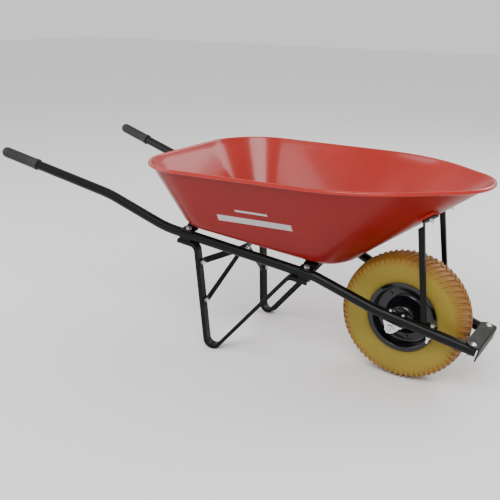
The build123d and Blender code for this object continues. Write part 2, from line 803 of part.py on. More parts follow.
with BuildPart() as axle_washers:
    ring(washer_radius, axle_radius + fit_gap, bracket_outer, bracket_outer + washer_sheet)
    mirror(about=Plane.XZ)
write("axle_washers", axle_washers)

with BuildPart() as axle_nuts:
    nut(across(0), M16, bracket_outer + washer_sheet, towards=1)
    mirror(about=Plane.XZ)
write("axle_nuts", axle_nuts)

# ================================================================ wheel
bush_radius = axle_radius + running_gap + bush_wall
hub_bore = bush_radius + fit_gap
hub_radius = hub_bore + hub_wall

with BuildPart() as wheel_hub:
    ring(hub_radius, hub_bore, -hub_half, hub_half)
    fitting_plane = Plane(
        origin=(axle_x, -(rim_hat_height + hub_half) / 2 - grease_fitting_inset, axle_z),
        z_dir=(cos(radians(grease_fitting_angle)), 0, sin(radians(grease_fitting_angle))),
    )
    with BuildSketch(fitting_plane) as fitting_hole:
        Circle(grease_shank_radius + fit_gap)
    extrude(fitting_hole.sketch, amount=2 * hub_radius, mode=Mode.SUBTRACT)
write("wheel_hub", wheel_hub)

with BuildPart() as grease_fitting:
    shank(fitting_plane, grease_shank_radius, hub_bore, hub_radius)
    shank(fitting_plane, grease_fitting_radius, hub_radius + fit_gap, hub_radius + grease_body_height)
    shank(fitting_plane, grease_nipple_radius, hub_radius, hub_radius + grease_fitting_height)
write("grease_fitting", grease_fitting)

with BuildPart() as bush:
    ring(bush_radius, axle_radius + running_gap, hub_half - bush_length, hub_end)
    ring(bush_flange_radius, axle_radius + running_gap, hub_half + fit_gap, hub_end)
write_pair("wheel_bush", bush)

wheel_section = Plane(origin=(axle_x, 0, axle_z), x_dir=(0, -1, 0), z_dir=(-1, 0, 0))
wheel_axis = Axis((axle_x, 0, axle_z), (0, 1, 0))
disc_at = rim_sheet / 2 + body_gap / 2
rim_bolt_seats = []
for rim_bolt in range(rim_bolt_count):
    turn = radians(rim_bolt_start + 360 / rim_bolt_count * rim_bolt)
    spoke = Vector(cos(turn), 0, sin(turn))
    rim_bolt_at = Vector(axle_x, 0, axle_z) + spoke * rim_bolt_circle
    rim_bolt_seats.append(Plane(origin=rim_bolt_at, x_dir=spoke, z_dir=(0, -1, 0)))

with BuildPart() as rim_half:
    with BuildSketch(wheel_section) as disc:
        with BuildLine():
            FilletPolyline(
                (rim_hat_height, hub_radius + fit_gap), (rim_hat_height, rim_hat_top_radius),
                (disc_at, rim_hat_radius), (disc_at, rim_disc_radius),
                (rim_half_width, bead_seat_radius - rim_sheet), (rim_half_width, rim_radius),
                radius=rim_bend_radii,
            )
        trace(line_width=rim_sheet)
    revolve(disc.sketch, axis=wheel_axis)
    for rim_seat in rim_bolt_seats:
        drill(rim_seat, M6[0], reach=sheet_reach)
write_pair("rim_half", rim_half)

with BuildPart() as tyre:
    bead_face = rim_half_width - rim_sheet / 2 - body_gap
    with BuildSketch(wheel_section) as tyre_section:
        with BuildLine():
            crown = wheel_radius - tyre_shoulder_drop
            ThreePointArc((-tyre_shoulder_half, crown), (0, wheel_radius), (tyre_shoulder_half, crown))
            bead_out = tyre_half_width - tyre_bead_inset
            bead_top = rim_radius + tyre_bead_height
            bead_in = bead_face - tyre_bead_height
            tyre_bore = bead_seat_radius + tyre_rim_gap
            for flank in (-1, 1):
                ThreePointArc((flank * tyre_shoulder_half, crown),
                              (flank * tyre_half_width, tyre_widest_radius), (flank * bead_out, bead_top))
                Polyline((flank * bead_out, bead_top), (flank * bead_face, rim_radius + tyre_rim_gap),
                         (flank * bead_face, bead_seat_radius + tyre_bead_height), (flank * bead_in, tyre_bore))
            Line((-bead_in, tyre_bore), (bead_in, tyre_bore))
        make_face()
    revolve(tyre_section.sketch, axis=wheel_axis)
write("tyre", tyre)

# ================================================================ fasteners, each group in one node
riser_foot_top = tube_radius + riser_sheet + 2 * fit_gap
leg_web_under = tube_radius + saddle_height + leg_sheet + fit_gap
riser_under = -riser_sheet - fit_gap
upper_front = strap_sheet + 2 * fit_gap

with BuildPart() as frame_bolts:
    for leg_seat in (front_seat, rear_seat):
        hex_bolt(leg_seat, M10, riser_foot_top, -leg_web_under - M10[2] - bolt_tail)
    mirror(about=Plane.XZ)
write("frame_bolts", frame_bolts)

with BuildPart() as frame_nuts:
    for leg_seat in (front_seat, rear_seat):
        nut(leg_seat, M10, -leg_web_under)
    mirror(about=Plane.XZ)
write("frame_nuts", frame_nuts)

with BuildPart() as tray_bolts:
    for tray_seat in tray_bolt_seats:
        dome_bolt(tray_seat, M8, tray_sheet + fit_gap, riser_under - M8[2] - bolt_tail)
write("tray_bolts", tray_bolts)

with BuildPart() as tray_nuts:
    for tray_seat in tray_bolt_seats:
        nut(tray_seat, M8, riser_under)
write("tray_nuts", tray_nuts)

brace_nut_at = pad_height + brace_sheet + 3 * fit_gap
with BuildPart() as brace_bolts:
    dome_bolt(wall_seat, M8, -tray_sheet - curved_wall_gap, brace_nut_at + M8[2] + bolt_tail)
    hex_bolt(brace_seat, M8, tube_radius + brace_sheet + 2 * fit_gap, -tube_radius - M8[2] - 2 * bolt_tail)
    mirror(about=Plane.XZ)
write("brace_bolts", brace_bolts)

with BuildPart() as brace_nuts:
    nut(wall_seat, M8, brace_nut_at, towards=1)
    nut(brace_seat, M8, -tube_radius - fit_gap)
    mirror(about=Plane.XZ)
write("brace_nuts", brace_nuts)

with BuildPart() as guard_bolts:
    dome_bolt(guard_seat, M8, tube_radius + guard_sheet + 2 * fit_gap, -tube_radius - M8[2] - bolt_tail)
    mirror(about=Plane.XZ)
write("guard_bolts", guard_bolts)

with BuildPart() as guard_nuts:
    nut(guard_seat, M8, -tube_radius - fit_gap)
    mirror(about=Plane.XZ)
write("guard_nuts", guard_nuts)

bracket_under = -tube_radius - bracket_sheet - 2 * fit_gap
with BuildPart() as bracket_bolts:
    for bracket_along in (-bracket_bolt_half, bracket_bolt_half):
        hex_bolt(shifted(bracket_seat, bracket_along), M6, tube_radius + fit_gap,
                 bracket_under - M6[2] - short_tail)
    mirror(about=Plane.XZ)
write("bracket_bolts", bracket_bolts)

with BuildPart() as bracket_nuts:
    for bracket_along in (-bracket_bolt_half, bracket_bolt_half):
        nut(shifted(bracket_seat, bracket_along), M6, bracket_under)
    mirror(about=Plane.XZ)
write("bracket_nuts", bracket_nuts)

centre_seat = Plane(origin=centre_at, z_dir=(1, 0, 0))
stack_front = 2 * strap_sheet + body_gap + fit_gap
with BuildPart() as strap_bolts:
    for strap_seat in (upper_seat, lower_seat):
        hex_bolt(strap_seat, M8, -leg_sheet - fit_gap, upper_front + M8[2] + bolt_tail)
    mirror(about=Plane.XZ)
    hex_bolt(centre_seat, M8, -fit_gap, stack_front + M8[2] + bolt_tail)
write("strap_bolts", strap_bolts)

with BuildPart() as strap_nuts:
    for strap_seat in (upper_seat, lower_seat):
        nut(strap_seat, M8, upper_front, towards=1)
    mirror(about=Plane.XZ)
    nut(centre_seat, M8, stack_front, towards=1)
write("strap_nuts", strap_nuts)

rim_stack = rim_sheet + body_gap / 2 + fit_gap
with BuildPart() as rim_bolts:
    for rim_seat in rim_bolt_seats:
        hex_bolt(rim_seat, M6, rim_stack, -rim_stack - M6[2] - short_tail)
write("rim_bolts", rim_bolts)

with BuildPart() as rim_nuts:
    for rim_seat in rim_bolt_seats:
        nut(rim_seat, M6, -rim_stack)
write("rim_nuts", rim_nuts)
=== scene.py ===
"""Visual model of a contractor's wheelbarrow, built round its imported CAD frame.

Row frame, in metres: +X forward towards the wheel, +Y to the left of the person pushing, +Z up.
The pressed tray and the lugged tyre are modelled here; every other part is the CAD node with its own finish.
"""
from __future__ import annotations

import json
import logging
import math
from dataclasses import dataclass
from enum import Enum

import bmesh
import bpy
from mathutils import Matrix, Vector

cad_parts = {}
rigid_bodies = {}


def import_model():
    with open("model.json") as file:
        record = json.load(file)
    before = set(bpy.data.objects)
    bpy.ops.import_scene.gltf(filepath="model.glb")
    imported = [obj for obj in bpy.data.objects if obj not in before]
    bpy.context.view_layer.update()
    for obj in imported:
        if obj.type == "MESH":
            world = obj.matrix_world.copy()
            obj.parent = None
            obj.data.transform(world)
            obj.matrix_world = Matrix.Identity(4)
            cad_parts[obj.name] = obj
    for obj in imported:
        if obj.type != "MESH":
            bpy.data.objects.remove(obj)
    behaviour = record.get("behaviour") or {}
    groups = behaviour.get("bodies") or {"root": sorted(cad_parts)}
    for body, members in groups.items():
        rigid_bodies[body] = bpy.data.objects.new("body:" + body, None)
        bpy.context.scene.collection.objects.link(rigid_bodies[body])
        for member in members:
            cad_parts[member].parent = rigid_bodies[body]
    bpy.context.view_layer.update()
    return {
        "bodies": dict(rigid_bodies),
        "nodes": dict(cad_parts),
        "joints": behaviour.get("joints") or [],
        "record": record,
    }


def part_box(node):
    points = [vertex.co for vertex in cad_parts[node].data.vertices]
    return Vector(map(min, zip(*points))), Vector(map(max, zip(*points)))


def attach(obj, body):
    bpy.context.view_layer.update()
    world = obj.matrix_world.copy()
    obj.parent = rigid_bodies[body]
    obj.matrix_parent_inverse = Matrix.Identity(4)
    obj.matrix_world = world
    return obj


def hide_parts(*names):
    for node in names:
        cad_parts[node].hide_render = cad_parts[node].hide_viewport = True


MM = 0.001
FRAME_BODY = "frame"
WHEEL_BODY = "wheel"
TRAY_SHARP = 50.0
TYRE_SHARP = 38.0
TYRE_INSET = 0.4 * MM
AXLE_RISE = 30.0 * MM
NOSE_BEND_BACK = 60.0 * MM
BED_FRONT_BACK = 246.0 * MM
NOSE_PITCH = math.radians(14.5)
KNEE_PITCH = math.radians(21.46)
log = logging.getLogger("wheelbarrow")

Colour = tuple[float, float, float]
STENCIL: Colour = (0.42, 0.40, 0.39)
# fasteners painted together with the rim, whatever their slot
PAINTED_OVER = ("rim_bolts", "rim_nuts")


# ---------------------------------------------------------------- shader groups
class GroupName(Enum):
    """Node groups that several finishes share."""

    MOTTLE = "mottle"
    SCUFF = "scuff"
    RADIAL = "radial_mask"
    GRAIN = "grain"
    BAR = "bar"


def new_group(name: GroupName, inputs: dict[str, float], outputs: dict[str, str]) -> bpy.types.NodeTree:
    """Make an empty shader group with float inputs and named outputs.

    Args:
        name: what the group is called.
        inputs: each float input with its default value.
        outputs: each output with its socket type.

    Returns:
        The new node tree, holding only its input and output nodes.
    """
    tree = bpy.data.node_groups.new(name.value, "ShaderNodeTree")
    for label, value in inputs.items():
        socket = tree.interface.new_socket(label, in_out="INPUT", socket_type="NodeSocketFloat")
        socket.default_value = value
    for label, kind in outputs.items():
        tree.interface.new_socket(label, in_out="OUTPUT", socket_type=kind)
    tree.nodes.new("NodeGroupInput")
    tree.nodes.new("NodeGroupOutput")
    return tree


def group_ends(tree: bpy.types.NodeTree) -> tuple[bpy.types.Node, bpy.types.Node]:
    """The group's input node and its output node."""
    return tree.nodes["Group Input"], tree.nodes["Group Output"]


def build_mottle() -> None:
    """Soft blotches of thicker and thinner paint: Mask runs from 0 to 1."""
    tree = new_group(GroupName.MOTTLE, {"Scale": 12.0, "Contrast": 0.25}, {"Mask": "NodeSocketFloat"})
    start, end = group_ends(tree)
    place = tree.nodes.new("ShaderNodeTexCoord")
    noise = tree.nodes.new("ShaderNodeTexNoise")
    noise.inputs["Detail"].default_value = 5.0
    spread = tree.nodes.new("ShaderNodeMapRange")
    low = tree.nodes.new("ShaderNodeMath")
    low.operation = "SUBTRACT"
    low.inputs[0].default_value = 0.5
    high = tree.nodes.new("ShaderNodeMath")
    high.operation = "ADD"
    high.inputs[0].default_value = 0.5
    link = tree.links.new
    link(place.outputs["Object"], noise.inputs["Vector"])
    link(start.outputs["Scale"], noise.inputs["Scale"])
    link(start.outputs["Contrast"], low.inputs[1])
    link(start.outputs["Contrast"], high.inputs[1])
    link(noise.outputs["Fac"], spread.inputs["Value"])
    link(low.outputs[0], spread.inputs["From Min"])
    link(high.outputs[0], spread.inputs["From Max"])
    link(spread.outputs["Result"], end.inputs["Mask"])


def build_scuff() -> None:
    """Sparse fine scratches and rubbed spots: Mask is 1 where the surface is marked."""
    tree = new_group(GroupName.SCUFF, {"Scale": 60.0, "Amount": 0.3}, {"Mask": "NodeSocketFloat"})
    start, end = group_ends(tree)
    place = tree.nodes.new("ShaderNodeTexCoord")
    stretch = tree.nodes.new("ShaderNodeMapping")
    stretch.inputs["Scale"].default_value = (1.0, 6.0, 2.5)
    fine = tree.nodes.new("ShaderNodeTexNoise")
    fine.inputs["Detail"].default_value = 8.0
    fine.inputs["Roughness"].default_value = 0.7
    gate = tree.nodes.new("ShaderNodeMapRange")
    gate.inputs["From Min"].default_value = 0.6
    gate.inputs["From Max"].default_value = 0.74
    scaled = tree.nodes.new("ShaderNodeMath")
    scaled.operation = "MULTIPLY"
    link = tree.links.new
    link(place.outputs["Object"], stretch.inputs["Vector"])
    link(stretch.outputs["Vector"], fine.inputs["Vector"])
    link(start.outputs["Scale"], fine.inputs["Scale"])
    link(fine.outputs["Fac"], gate.inputs["Value"])
    link(gate.outputs["Result"], scaled.inputs[0])
    link(start.outputs["Amount"], scaled.inputs[1])
    link(scaled.outputs[0], end.inputs["Mask"])


def build_grain() -> None:
    """Even fine grain for bumps: Height runs from 0 to 1."""
    tree = new_group(GroupName.GRAIN, {"Scale": 900.0}, {"Height": "NodeSocketFloat"})
    start, end = group_ends(tree)
    place = tree.nodes.new("ShaderNodeTexCoord")
    noise = tree.nodes.new("ShaderNodeTexNoise")
    noise.inputs["Detail"].default_value = 3.0
    link = tree.links.new
    link(place.outputs["Object"], noise.inputs["Vector"])
    link(start.outputs["Scale"], noise.inputs["Scale"])
    link(noise.outputs["Fac"], end.inputs["Height"])


def build_radial() -> None:
    """Distance from the wheel's axis as a mask: 0 inside Inner, 1 outside Outer, broken up by noise."""
    inputs = {"Centre X": 0.0, "Centre Z": 0.0, "Inner": 0.1, "Outer": 0.2, "Break-up": 0.3}
    tree = new_group(GroupName.RADIAL, inputs, {"Mask": "NodeSocketFloat"})
    start, end = group_ends(tree)
    place = tree.nodes.new("ShaderNodeTexCoord")
    centre = tree.nodes.new("ShaderNodeCombineXYZ")
    away = tree.nodes.new("ShaderNodeVectorMath")
    away.operation = "SUBTRACT"
    flat = tree.nodes.new("ShaderNodeVectorMath")
    flat.operation = "MULTIPLY"
    flat.inputs[1].default_value = (1.0, 0.0, 1.0)
    reach = tree.nodes.new("ShaderNodeVectorMath")
    reach.operation = "LENGTH"
    noise = tree.nodes.new("ShaderNodeTexNoise")
    noise.inputs["Scale"].default_value = 16.0
    noise.inputs["Detail"].default_value = 6.0
    lift = tree.nodes.new("ShaderNodeMath")
    lift.operation = "MULTIPLY_ADD"
    ramp = tree.nodes.new("ShaderNodeMapRange")
    link = tree.links.new
    link(start.outputs["Centre X"], centre.inputs["X"])
    link(start.outputs["Centre Z"], centre.inputs["Z"])
    link(place.outputs["Object"], away.inputs[0])
    link(centre.outputs["Vector"], away.inputs[1])
    link(away.outputs["Vector"], flat.inputs[0])
    link(flat.outputs["Vector"], reach.inputs[0])
    link(place.outputs["Object"], noise.inputs["Vector"])
    link(noise.outputs["Fac"], lift.inputs[0])
    link(start.outputs["Break-up"], lift.inputs[1])
    link(reach.outputs["Value"], lift.inputs[2])
    link(lift.outputs[0], ramp.inputs["Value"])
    link(start.outputs["Inner"], ramp.inputs["From Min"])
    link(start.outputs["Outer"], ramp.inputs["From Max"])
    link(ramp.outputs["Result"], end.inputs["Mask"])


def build_bar() -> None:
    """A painted bar on a side wall: Mask is 1 inside it, with soft edges."""
    inputs = {"Centre X": 0.0, "Half Length": 0.1, "Centre Z": 0.0, "Half Height": 0.01}
    tree = new_group(GroupName.BAR, inputs, {"Mask": "NodeSocketFloat"})
    start, end = group_ends(tree)
    place = tree.nodes.new("ShaderNodeTexCoord")
    split = tree.nodes.new("ShaderNodeSeparateXYZ")
    link = tree.links.new
    link(place.outputs["Object"], split.inputs["Vector"])
    inside = []
    for axis, centre, half in (("X", "Centre X", "Half Length"), ("Z", "Centre Z", "Half Height")):
        away = tree.nodes.new("ShaderNodeMath")
        away.operation = "SUBTRACT"
        size = tree.nodes.new("ShaderNodeMath")
        size.operation = "ABSOLUTE"
        depth = tree.nodes.new("ShaderNodeMath")
        depth.operation = "SUBTRACT"
        edge = tree.nodes.new("ShaderNodeMapRange")
        edge.inputs["From Max"].default_value = 0.8 * MM
        link(split.outputs[axis], away.inputs[0])
        link(start.outputs[centre], away.inputs[1])
        link(away.outputs[0], size.inputs[0])
        link(start.outputs[half], depth.inputs[0])
        link(size.outputs[0], depth.inputs[1])
        link(depth.outputs[0], edge.inputs["Value"])
        inside.append(edge.outputs["Result"])
    both = tree.nodes.new("ShaderNodeMath")
    both.operation = "MULTIPLY"
    link(inside[0], both.inputs[0])
    link(inside[1], both.inputs[1])
    link(both.outputs[0], end.inputs["Mask"])


def build_groups() -> None:
    """Build every shared shader group once."""
    build_bar()
    build_mottle()
    build_scuff()
    build_grain()
    build_radial()


# ---------------------------------------------------------------- finishes
class Sheet:
    """A material being wired up: its tree, its shader and shorthand for adding nodes."""

    def __init__(self, name: str) -> None:
        """Start a material of that name with a plain Principled shader."""
        self.material = bpy.data.materials.new(name)
        self.material.use_nodes = True
        self.tree = self.material.node_tree
        self.shader = self.tree.nodes["Principled BSDF"]

    def group(self, name: GroupName, **values: float) -> bpy.types.Node:
        """Add a shared group and set its inputs; an underscore in a key stands for a space."""
        node = self.tree.nodes.new("ShaderNodeGroup")
        node.node_tree = bpy.data.node_groups[name.value]
        for key, value in values.items():
            node.inputs[key.replace("_", " ")].default_value = value
        return node

    def blend(self, mask: bpy.types.NodeSocket, low: Colour | bpy.types.NodeSocket,
              high: Colour) -> bpy.types.NodeSocket:
        """Mix two colours by a mask.

        Args:
            mask: 0 gives low and 1 gives high.
            low: a colour, or the output that carries one.
            high: the other colour.

        Returns:
            The output that carries the mixed colour.
        """
        mix = self.tree.nodes.new("ShaderNodeMix")
        mix.data_type = "RGBA"
        self.tree.links.new(mask, mix.inputs["Factor"])
        if isinstance(low, bpy.types.NodeSocket):
            self.tree.links.new(low, mix.inputs["A"])
        else:
            mix.inputs["A"].default_value = (*low, 1.0)
        mix.inputs["B"].default_value = (*high, 1.0)
        return mix.outputs["Result"]

    def spread(self, mask: bpy.types.NodeSocket, low: float, high: float) -> bpy.types.NodeSocket:
        """Map a mask from 0..1 to low..high."""
        ramp = self.tree.nodes.new("ShaderNodeMapRange")
        ramp.inputs["To Min"].default_value = low
        ramp.inputs["To Max"].default_value = high
        self.tree.links.new(mask, ramp.inputs["Value"])
        return ramp.outputs["Result"]

    def bump(self, height: bpy.types.NodeSocket, strength: float, distance: float) -> None:
        """Feed a height to the shader's normal."""
        node = self.tree.nodes.new("ShaderNodeBump")
        node.inputs["Strength"].default_value = strength
        node.inputs["Distance"].default_value = distance
        self.tree.links.new(height, node.inputs["Height"])
        self.tree.links.new(node.outputs["Normal"], self.shader.inputs["Normal"])

    def feed(self, socket: bpy.types.NodeSocket, name: str) -> None:
        """Link a value to one of the shader's inputs."""
        self.tree.links.new(socket, self.shader.inputs[name])


@dataclass(frozen=True)
class Bar:
    """A plain pale bar stencilled on the tray's side, in metres in the row frame."""

    centre_x: float
    half_length: float
    centre_z: float
    half_height: float


@dataclass(frozen=True)
class Enamel:
    """Sprayed enamel: two close tones, a gloss that varies, faint orange peel and a few rubbed spots."""

    name: str
    tone: Colour
    deep: Colour
    rubbed: Colour
    gloss: tuple[float, float]
    coat: float
    peel: float
    scuffs: float
    blotch: float = 6.0
    specular: float = 0.35
    bars: tuple[Bar, ...] = ()

    def make(self) -> bpy.types.Material:
        """Build the material."""
        sheet = Sheet(self.name)
        mottle = sheet.group(GroupName.MOTTLE, Scale=self.blotch, Contrast=0.22)
        scuff = sheet.group(GroupName.SCUFF, Scale=38.0, Amount=self.scuffs)
        tone = sheet.blend(mottle.outputs["Mask"], self.deep, self.tone)
        colour = sheet.blend(scuff.outputs["Mask"], tone, self.rubbed)
        for bar in self.bars:
            stencil = sheet.group(GroupName.BAR, Centre_X=bar.centre_x, Half_Length=bar.half_length,
                                  Centre_Z=bar.centre_z, Half_Height=bar.half_height)
            colour = sheet.blend(stencil.outputs["Mask"], colour, STENCIL)
        sheet.feed(colour, "Base Color")
        sheet.feed(sheet.spread(mottle.outputs["Mask"], *self.gloss), "Roughness")
        grain = sheet.group(GroupName.GRAIN, Scale=260.0)
        sheet.bump(grain.outputs["Height"], self.peel, 0.0004)
        sheet.shader.inputs["Specular IOR Level"].default_value = self.specular
        sheet.shader.inputs["Coat Weight"].default_value = self.coat
        sheet.shader.inputs["Coat Roughness"].default_value = 0.08
        return sheet.material


@dataclass(frozen=True)
class Plating:
    """Bright metal: zinc or drawn steel, with a spangle and dull spots."""

    name: str
    tone: Colour
    dull: Colour
    gloss: tuple[float, float]
    spangle: float

    def make(self) -> bpy.types.Material:
        """Build the material."""
        sheet = Sheet(self.name)
        mottle = sheet.group(GroupName.MOTTLE, Scale=self.spangle, Contrast=0.18)
        sheet.feed(sheet.blend(mottle.outputs["Mask"], self.dull, self.tone), "Base Color")
        sheet.feed(sheet.spread(mottle.outputs["Mask"], *self.gloss), "Roughness")
        grain = sheet.group(GroupName.GRAIN, Scale=700.0)
        sheet.bump(grain.outputs["Height"], 0.12, 0.0003)
        sheet.shader.inputs["Metallic"].default_value = 0.9
        return sheet.material


@dataclass(frozen=True)
class Moulding:
    """Matt moulded plastic or rubber with a fine texture and a little dust."""

    name: str
    tone: Colour
    dusty: Colour
    roughness: float
    grain: float

    def make(self) -> bpy.types.Material:
        """Build the material."""
        sheet = Sheet(self.name)
        mottle = sheet.group(GroupName.MOTTLE, Scale=45.0, Contrast=0.3)
        sheet.feed(sheet.blend(mottle.outputs["Mask"], self.tone, self.dusty), "Base Color")
        sheet.feed(sheet.spread(mottle.outputs["Mask"], self.roughness, self.roughness + 0.12), "Roughness")
        grain = sheet.group(GroupName.GRAIN, Scale=self.grain)
        sheet.bump(grain.outputs["Height"], 0.35, 0.0005)
        return sheet.material


@dataclass(frozen=True)
class Foam:
    """Yellow solid tyre foam, stained orange towards its tread."""

    name: str
    wall: Colour
    pale: Colour
    tread: Colour
    deep_tread: Colour
    axle_x: float
    axle_z: float
    stain_from: float
    stain_to: float

    def make(self) -> bpy.types.Material:
        """Build the material."""
        sheet = Sheet(self.name)
        mottle = sheet.group(GroupName.MOTTLE, Scale=9.0, Contrast=0.25)
        blots = sheet.group(GroupName.MOTTLE, Scale=60.0, Contrast=0.2)
        stain = sheet.group(GroupName.RADIAL, Centre_X=self.axle_x, Centre_Z=self.axle_z,
                            Inner=self.stain_from, Outer=self.stain_to)
        stain.inputs["Break-up"].default_value = 0.05
        deep = sheet.group(GroupName.RADIAL, Centre_X=self.axle_x, Centre_Z=self.axle_z,
                           Inner=self.stain_to, Outer=self.stain_to + 0.03)
        deep.inputs["Break-up"].default_value = 0.03
        wall = sheet.blend(mottle.outputs["Mask"], self.wall, self.pale)
        stained = sheet.blend(stain.outputs["Mask"], wall, self.tread)
        sheet.feed(sheet.blend(deep.outputs["Mask"], stained, self.deep_tread), "Base Color")
        sheet.feed(sheet.spread(blots.outputs["Mask"], 0.5, 0.72), "Roughness")
        grain = sheet.group(GroupName.GRAIN, Scale=420.0)
        sheet.bump(grain.outputs["Height"], 0.3, 0.0006)
        return sheet.material


# ---------------------------------------------------------------- mesh helpers
def finish_mesh(name: str, mesh: bmesh.types.BMesh, sharp: float, body: str,
                material: bpy.types.Material) -> bpy.types.Object:
    """Turn a bmesh into a smooth-shaded piece that rides on a body.

    Args:
        name: the piece's name.
        mesh: its shape, in the row frame; freed here.
        sharp: the angle past which an edge stays sharp, in degrees.
        body: the CAD body it rides on.
        material: its material.

    Returns:
        The new object, at the origin.
    """
    data = bpy.data.meshes.new(name)
    mesh.to_mesh(data)
    mesh.free()
    data.materials.append(material)
    data.shade_smooth()
    piece = bpy.data.objects.new(name, data)
    bpy.context.scene.collection.objects.link(piece)
    data.set_sharp_from_angle(angle=math.radians(sharp))
    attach(piece, body)
    log.info("%s: %d faces on %s", name, len(data.polygons), body)
    return piece


def loop_of(mesh: bmesh.types.BMesh, points: list[Vector]) -> list[bmesh.types.BMEdge]:
    """Add a closed loop of edges through the points."""
    verts = [mesh.verts.new(point) for point in points]
    return [mesh.edges.new((verts[index - 1], vert)) for index, vert in enumerate(verts)]


# ---------------------------------------------------------------- tray
@dataclass(frozen=True)
class Corner:
    """One corner of the tray's plan, and the radius it is rounded to."""

    x: float
    y: float
    radius: float


@dataclass(frozen=True)
class Plan:
    """The tray's plan at one level: a square rear, tapered sides and a bullet nose."""

    rear: float
    rear_half: float
    shoulder: float
    shoulder_half: float
    apex: float
    radii: tuple[float, float, float]

    def corners(self) -> list[Corner]:
        """The five corners, anticlockwise from the right-hand rear."""
        rear_radius, shoulder_radius, nose_radius = self.radii
        return [
            Corner(-self.rear, -self.rear_half, rear_radius),
            Corner(self.shoulder, -self.shoulder_half, shoulder_radius),
            Corner(self.apex, 0.0, nose_radius),
            Corner(self.shoulder, self.shoulder_half, shoulder_radius),
            Corner(-self.rear, self.rear_half, rear_radius),
        ]

    def ring(self, arc_steps: int, side_steps: int) -> list[tuple[Vector, Vector]]:
        """Points round the plan with their outward directions.

        Args:
            arc_steps: steps round each corner.
            side_steps: steps along each side.

        Returns:
            (point, outward unit direction) pairs in the plane of the plan.
        """
        corners = self.corners()
        arcs = []
        for index, corner in enumerate(corners):
            here = Vector((corner.x, corner.y))
            before = corners[index - 1]
            after = corners[(index + 1) % len(corners)]
            back = (Vector((before.x, before.y)) - here).normalized()
            ahead = (Vector((after.x, after.y)) - here).normalized()
            half = back.angle(ahead) / 2
            centre = here + (back + ahead).normalized() * (corner.radius / math.sin(half))
            first = (here + back * (corner.radius / math.tan(half)) - centre).normalized()
            turn = math.pi - 2 * half
            arc = []
            for step in range(arc_steps + 1):
                outward = first.copy()
                outward.rotate(Matrix.Rotation(turn * step / arc_steps, 2))
                arc.append((centre + outward * corner.radius, outward))
            arcs.append(arc)
        points: list[tuple[Vector, Vector]] = []
        for index, arc in enumerate(arcs):
            points.extend(arc)
            start, outward = arc[-1]
            end = arcs[(index + 1) % len(arcs)][0][0]
            for step in range(1, side_steps):
                points.append((start.lerp(end, step / side_steps), outward))
        return points


@dataclass(frozen=True)
class Level:
    """A plane across the barrow: its origin and its tilt about Y."""

    x: float
    z: float
    pitch: float

    def place(self, flat: Vector, height: float = 0.0) -> Vector:
        """Put a point of the plan in the row frame, that far above the plane."""
        along = Vector((math.cos(self.pitch), 0.0, -math.sin(self.pitch)))
        up = Vector((math.sin(self.pitch), 0.0, math.cos(self.pitch)))
        return Vector((self.x, flat.y, self.z)) + along * flat.x + up * height


